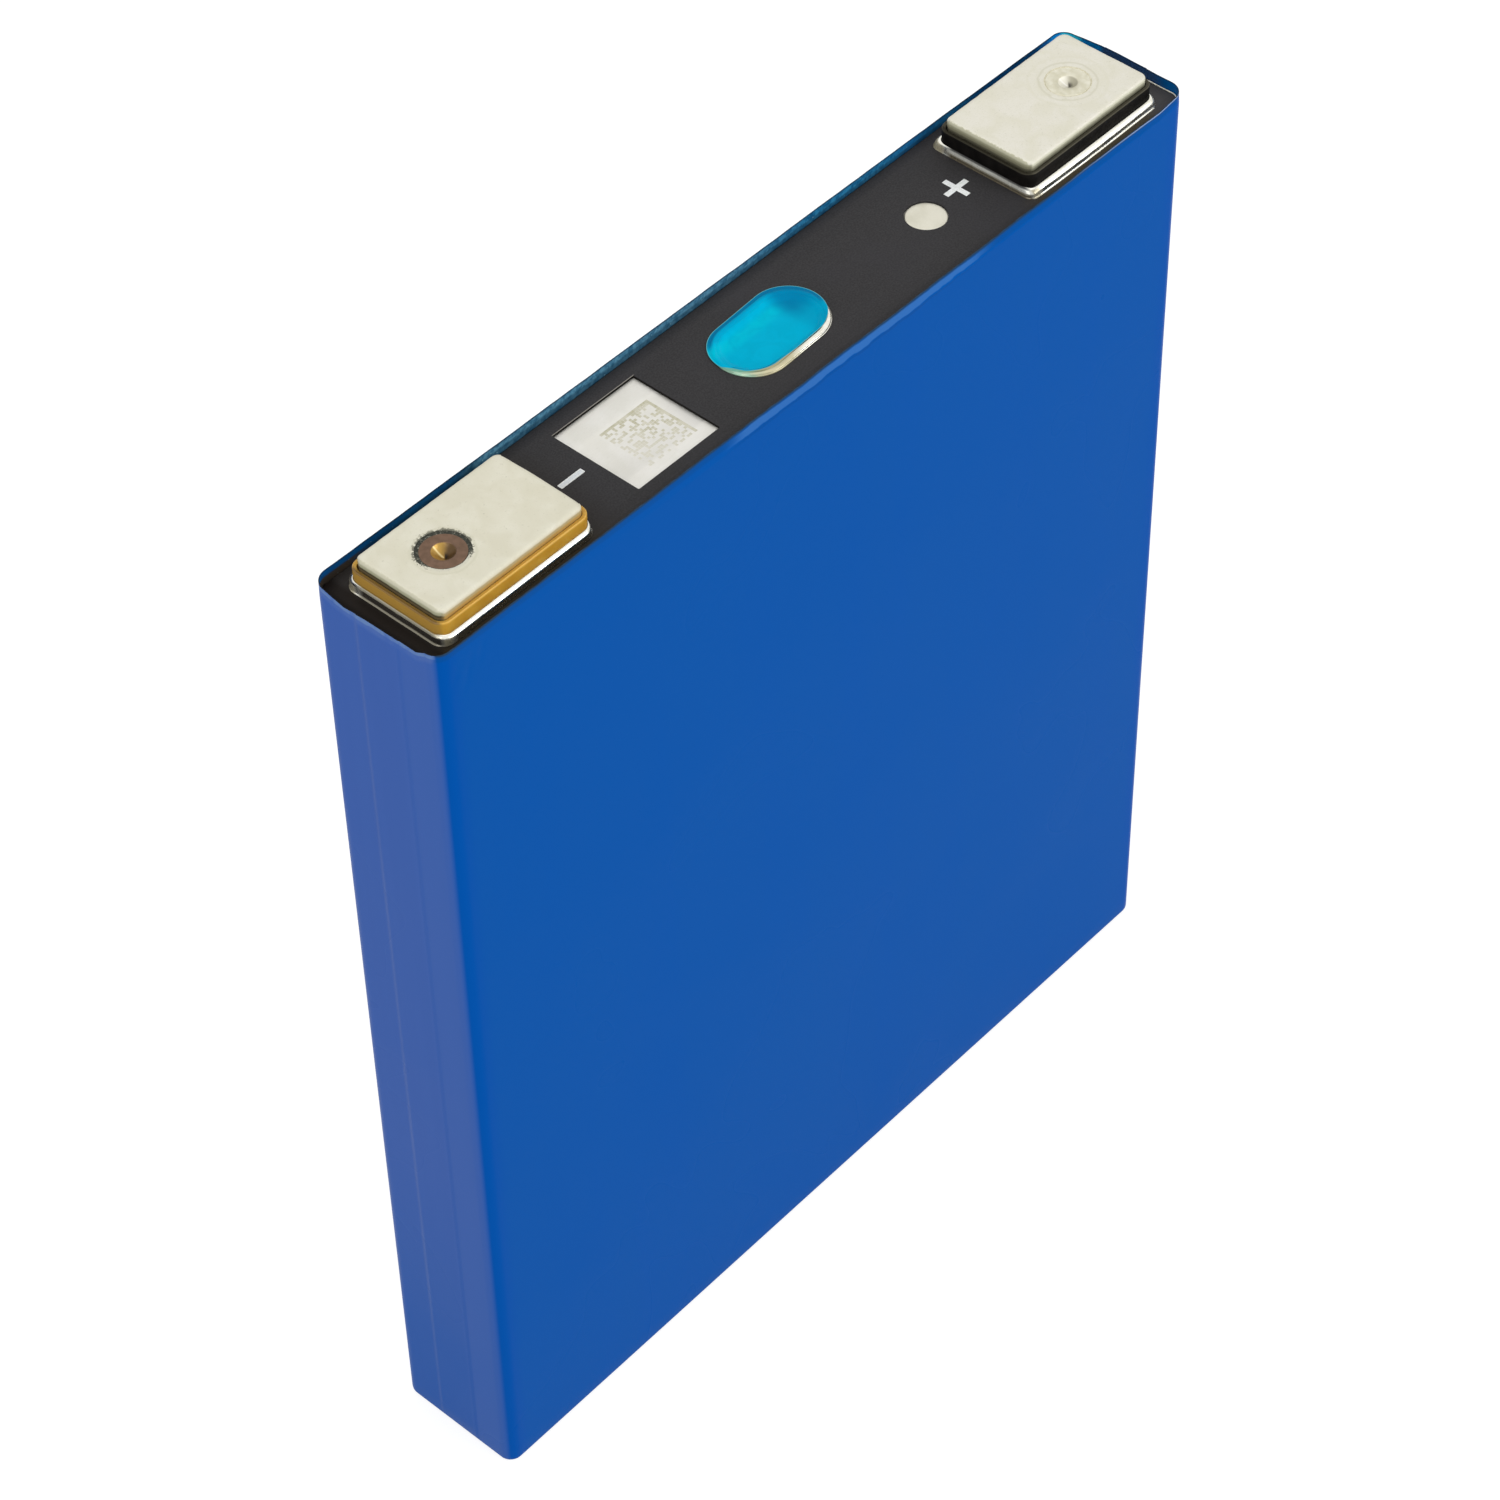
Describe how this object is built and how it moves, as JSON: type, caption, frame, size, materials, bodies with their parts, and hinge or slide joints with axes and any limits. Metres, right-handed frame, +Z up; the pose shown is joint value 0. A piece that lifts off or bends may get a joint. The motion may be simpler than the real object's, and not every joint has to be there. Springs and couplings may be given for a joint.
{
  "type": "prismatic battery cell",
  "caption": "Slim rectangular battery cell in a metal can with a glossy wrap, a dark insulated top, flat welded terminal plates, a covered burst vent and a sealed filling port.",
  "frame": {"origin": "centre of the rectangular underside of the wrap, where the cell stands", "axes": "+Z up towards the terminals, along the cell's height; X across the wide faces with the negative terminal at -X and the positive terminal at +X; Y through the thickness"},
  "size_m": [0.148, 0.022, 0.1735],
  "materials": {
    "blue_film": "glossy blue polyester film",
    "base_pad": "dull glass-fibre sheet",
    "can_aluminium": "deep-drawn, satin",
    "lid_aluminium": "pressed, satin",
    "label_charcoal": "matte charcoal sheet",
    "mark_white": "screen-printed ink",
    "vent_membrane": "rolled, satin",
    "vent_cover": "glossy translucent teal film",
    "black_polymer": "moulded, glossy",
    "amber_polymer": "moulded, glossy amber",
    "white_polymer": "moulded or film, dull white",
    "plug_rubber": "soft rubber",
    "seal_rubber": "soft fluorine rubber",
    "plate_aluminium": "finely brushed",
    "post_copper": "copper, turned and slightly tarnished",
    "post_aluminium": "turned",
    "weld_dark": "laser-melted, sooty",
    "weld_light": "laser-melted",
    "collector_copper": "bare copper strip",
    "collector_aluminium": "bare aluminium strip",
    "foil_copper": "copper foil",
    "foil_aluminium": "aluminium foil",
    "anode_coating": "dark graphite coating on foil",
    "cathode_coating": "dark grey coating on foil",
    "separator_film": "dull white porous film",
    "tape_blue": "thin blue polyimide or polyester tape"
  },
  "bodies": {
    "root": {"back_core_anode": "anode_coating", "back_core_cathode": "cathode_coating", "back_core_neg_tabs": "foil_copper", "back_core_pos_tabs": "foil_aluminium", "back_core_separators": "separator_film", "base_pad": "base_pad", "can": "can_aluminium", "core_spacer": "white_polymer", "core_tapes": "tape_blue", "fill_plug": "plug_rubber", "fill_seal_disc": "lid_aluminium", "front_core_anode": "anode_coating", "front_core_cathode": "cathode_coating", "front_core_neg_tabs": "foil_copper", "front_core_pos_tabs": "foil_aluminium", "front_core_separators": "separator_film", "insulating_bag": "white_polymer", "lid_plate": "lid_aluminium", "minus_mark": "mark_white", "neg_collector": "collector_copper", "neg_lower_insulator": "white_polymer", "neg_rivet": "post_copper", "neg_seal_ring": "seal_rubber", "neg_terminal_plate": "plate_aluminium", "neg_upper_insulator": "amber_polymer", "neg_weld_bead": "weld_dark", "plus_mark": "mark_white", "pos_collector": "collector_aluminium", "pos_lower_insulator": "white_polymer", "pos_rivet": "post_aluminium", "pos_seal_ring": "seal_rubber", "pos_terminal_plate": "plate_aluminium", "pos_upper_insulator": "black_polymer", "pos_weld_bead": "weld_light", "tab_weld_tapes": "tape_blue", "top_label": "label_charcoal", "vent_disc": "vent_membrane", "vent_film": "vent_cover", "vent_guard": "white_polymer", "wrap_film": "blue_film"}
  },
  "joints": []
}
